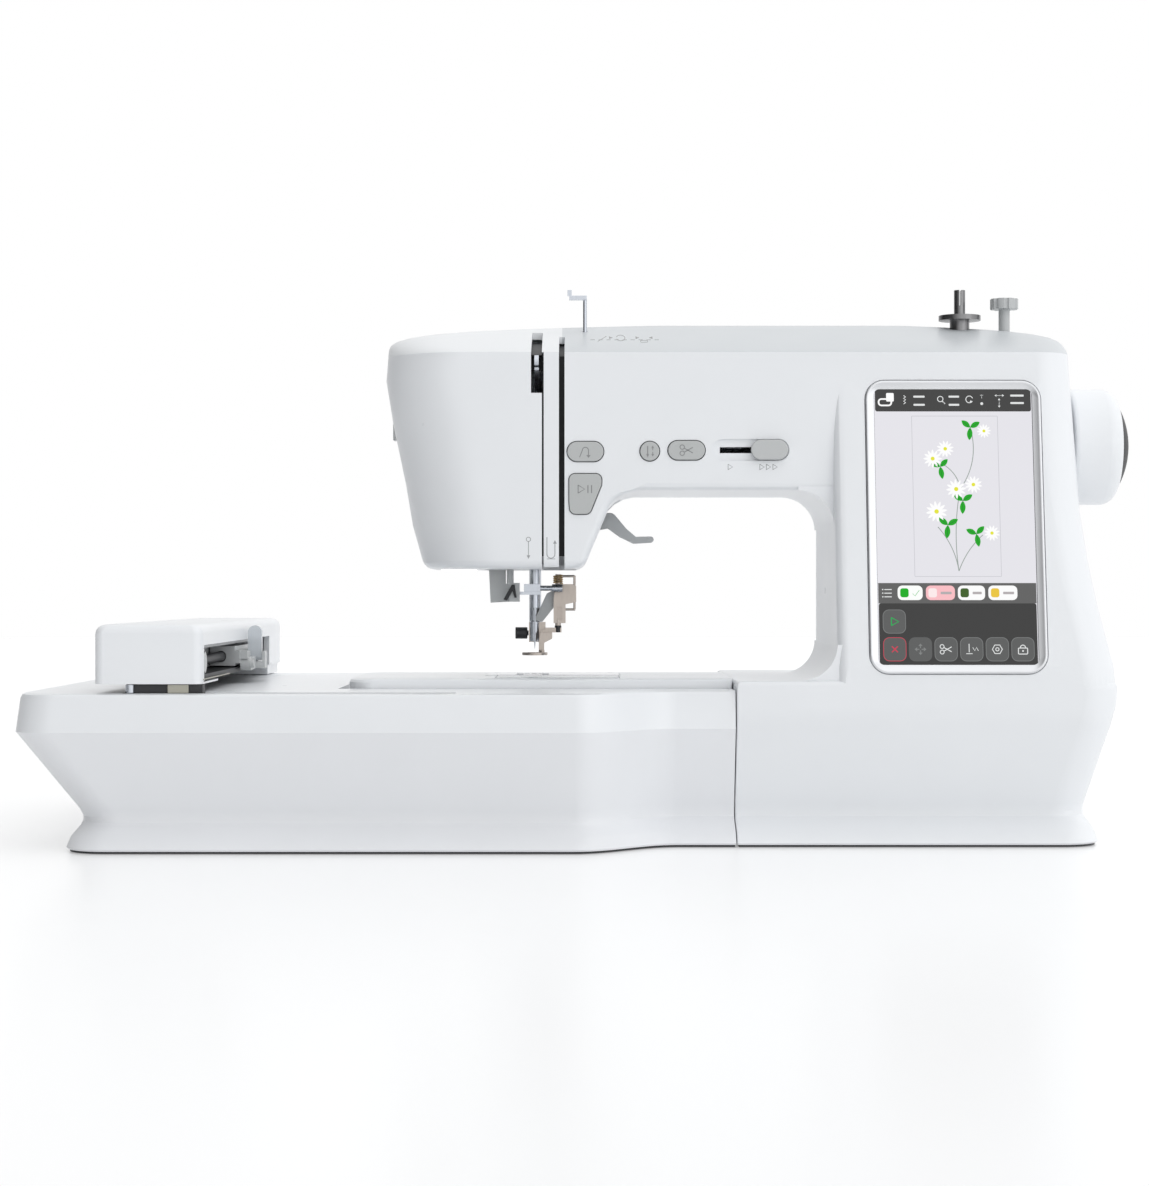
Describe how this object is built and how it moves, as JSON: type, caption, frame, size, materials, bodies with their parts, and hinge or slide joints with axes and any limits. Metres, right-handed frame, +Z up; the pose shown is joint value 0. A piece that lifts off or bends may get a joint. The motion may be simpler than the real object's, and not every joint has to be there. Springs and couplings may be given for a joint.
{
  "type": "sewing and embroidery machine",
  "caption": "Domestic sewing and embroidery machine with touch screen, free arm, handwheel and an attached embroidery unit whose arm carries a hoop holder",
  "frame": {"origin": "centre of the bounding footprint, on the surface the feet stand on", "axes": "+X along the machine to the handwheel, +Y to the back, +Z up"},
  "size_m": [0.614, 0.354, 0.312],
  "materials": {
    "white_shell": "satin white moulded plastic",
    "dark_plastic": "matt dark grey",
    "grey_plastic": "satin light grey",
    "rubber": "matt black",
    "steel": "bright nickel",
    "cast_metal": "as cast",
    "bronze": "sintered",
    "board": "printed circuit board",
    "silver_trim": "satin silver",
    "screen_glass": "glossy screen, lit",
    "lens": "clear lamp lens",
    "clear_plastic": "translucent pale grey",
    "foot_metal": "nickel and brown plastic"
  },
  "bodies": {
    "machine": {"base_plate": "dark_plastic", "rubber_feet": "rubber", "front_cover": "white_shell", "rear_cover": "white_shell", "face_cover": "white_shell", "top_cover": "white_shell", "thread_guide_strip": "white_shell", "thread_channel": "dark_plastic", "free_arm_cover": "white_shell", "needle_plate": "steel", "chassis": "cast_metal", "shaft_bushings": "bronze", "main_motor": "cast_metal", "drive_belts": "rubber", "circuit_board": "board", "display_bezel": "silver_trim", "display_panel": "dark_plastic", "display_glass": "screen_glass", "lamp_lens": "lens", "power_inlet": "dark_plastic", "thread_cutter": "grey_plastic", "bobbin_stopper": "grey_plastic", "cover_screws": "steel", "bobbin_case": "dark_plastic", "bobbin": "clear_plastic", "presser_spring": "steel"},
    "drive": {"handwheel": "white_shell", "handwheel_cap": "dark_plastic", "main_shaft": "steel"},
    "motor_rotor": {"motor_pulley": "steel"},
    "lower_drive": {"lower_shaft": "steel"},
    "hook": {"rotary_hook": "steel"},
    "needle_group": {"needle_bar": "steel", "needle_clamp": "steel", "needle": "steel"},
    "take_up": {"take_up_lever": "steel"},
    "presser": {"presser_bar": "steel", "foot_screw": "dark_plastic", "embroidery_foot": "foot_metal"},
    "lifter": {"foot_lifter": "grey_plastic"},
    "threader": {"needle_threader": "grey_plastic"},
    "feed_carrier": {"feed_bar": "cast_metal"},
    "feed": {"feed_dog": "steel"},
    "plate_cover": {"bobbin_cover": "clear_plastic"},
    "speed": {"speed_knob": "grey_plastic"},
    "reverse": {"reverse_button": "grey_plastic"},
    "start": {"start_button": "grey_plastic"},
    "needle_key": {"needle_button": "grey_plastic"},
    "trim": {"trim_button": "grey_plastic"},
    "switch": {"power_switch": "dark_plastic"},
    "spindle": {"bobbin_spindle": "steel"},
    "mast": {"thread_mast": "steel"},
    "unit": {"unit_top_cover": "white_shell", "unit_lower_housing": "white_shell", "unit_feet": "rubber", "unit_rails": "steel"},
    "arm": {"arm_cover": "white_shell", "arm_rail": "dark_plastic"},
    "carriage": {"hoop_carriage": "grey_plastic"},
    "clamp": {"clamp_lever": "clear_plastic"}
  },
  "joints": [
    {"name": "handwheel_turn", "type": "hinge", "parent": "machine", "child": "drive", "pos_m": [0.29, -0.06, 0.221], "axis": [1, 0, 0], "continuous": true},
    {"name": "motor_spin", "type": "hinge", "parent": "machine", "child": "motor_rotor", "pos_m": [0.246, -0.05, 0.15], "axis": [1, 0, 0], "continuous": true},
    {"name": "lower_shaft_spin", "type": "hinge", "parent": "machine", "child": "lower_drive", "pos_m": [0.05, -0.06, 0.045], "axis": [1, 0, 0], "continuous": true},
    {"name": "hook_spin", "type": "hinge", "parent": "machine", "child": "hook", "pos_m": [-0.032, -0.06, 0.06], "axis": [0, 0, 1], "continuous": true},
    {"name": "needle_bar_slide", "type": "slide", "parent": "machine", "child": "needle_group", "axis": [0, 0, -1], "range_m": [0, 0.028]},
    {"name": "take_up_swing", "type": "hinge", "parent": "machine", "child": "take_up", "pos_m": [-0.03, -0.08, 0.238], "axis": [1, 0, 0], "range_deg": [0, 20]},
    {"name": "presser_slide", "type": "slide", "parent": "machine", "child": "presser", "axis": [0, 0, -1], "range_m": [0, 0.01], "deforming": ["presser_spring"]},
    {"name": "lifter_swing", "type": "hinge", "parent": "machine", "child": "lifter", "pos_m": [0, -0.028, 0.178], "axis": [0, 1, 0], "range_deg": [0, 25]},
    {"name": "threader_slide", "type": "slide", "parent": "machine", "child": "threader", "axis": [0, 0, -1], "range_m": [0, 0.02], "stiffness_N_per_m": 60, "springref_m": -0.005},
    {"name": "feed_advance", "type": "slide", "parent": "machine", "child": "feed_carrier", "axis": [0, 1, 0], "range_m": [-0.0015, 0.0015]},
    {"name": "feed_lift", "type": "slide", "parent": "feed_carrier", "child": "feed", "axis": [0, 0, 1], "range_m": [0, 0.0015]},
    {"name": "bobbin_cover_lift", "type": "slide", "parent": "machine", "child": "plate_cover", "axis": [0, 0, 1], "range_m": [0, 0.008]},
    {"name": "speed_slide", "type": "slide", "parent": "machine", "child": "speed", "axis": [1, 0, 0], "range_m": [-0.02, 0]},
    {"name": "reverse_press", "type": "slide", "parent": "machine", "child": "reverse", "axis": [0, 1, 0], "range_m": [0, 0.0015], "stiffness_N_per_m": 400, "springref_m": -0.0005},
    {"name": "start_press", "type": "slide", "parent": "machine", "child": "start", "axis": [0, 1, 0], "range_m": [0, 0.0015], "stiffness_N_per_m": 400, "springref_m": -0.0005},
    {"name": "needle_press", "type": "slide", "parent": "machine", "child": "needle_key", "axis": [0, 1, 0], "range_m": [0, 0.0015], "stiffness_N_per_m": 400, "springref_m": -0.0005},
    {"name": "trim_press", "type": "slide", "parent": "machine", "child": "trim", "axis": [0, 1, 0], "range_m": [0, 0.0015], "stiffness_N_per_m": 400, "springref_m": -0.0005},
    {"name": "switch_rock", "type": "hinge", "parent": "machine", "child": "switch", "pos_m": [0.2695, 0.026, 0.045], "axis": [0, 0, 1], "range_deg": [-8, 0]},
    {"name": "spindle_spin", "type": "hinge", "parent": "machine", "child": "spindle", "pos_m": [0.213, -0.05, 0.29], "axis": [0, 0, 1], "continuous": true},
    {"name": "thread_mast_slide", "type": "slide", "parent": "machine", "child": "mast", "axis": [0, 0, -1], "range_m": [0, 0.01]},
    {"name": "unit_slide", "type": "slide", "parent": "machine", "child": "unit", "axis": [-1, 0, 0], "range_m": [0, 0.1]},
    {"name": "arm_slide", "type": "slide", "parent": "unit", "child": "arm", "axis": [1, 0, 0], "range_m": [0, 0.13]},
    {"name": "carriage_slide", "type": "slide", "parent": "arm", "child": "carriage", "axis": [0, 1, 0], "range_m": [-0.105, 0.06]},
    {"name": "clamp_lever_swing", "type": "hinge", "parent": "carriage", "child": "clamp", "pos_m": [-0.2, 0.005, 0.0995], "axis": [1, 0, 0], "range_deg": [0, 60]}
  ],
  "couplings": [
    {"joint": "motor_spin", "follows": "handwheel_turn", "ratio": 2.5},
    {"joint": "lower_shaft_spin", "follows": "handwheel_turn", "ratio": 1},
    {"joint": "hook_spin", "follows": "handwheel_turn", "ratio": 2},
    {"joint": "take_up_swing", "follows": "needle_bar_slide", "rad_per_m": 12.454},
    {"joint": "lifter_swing", "follows": "presser_slide", "rad_per_m": 43.59}
  ]
}
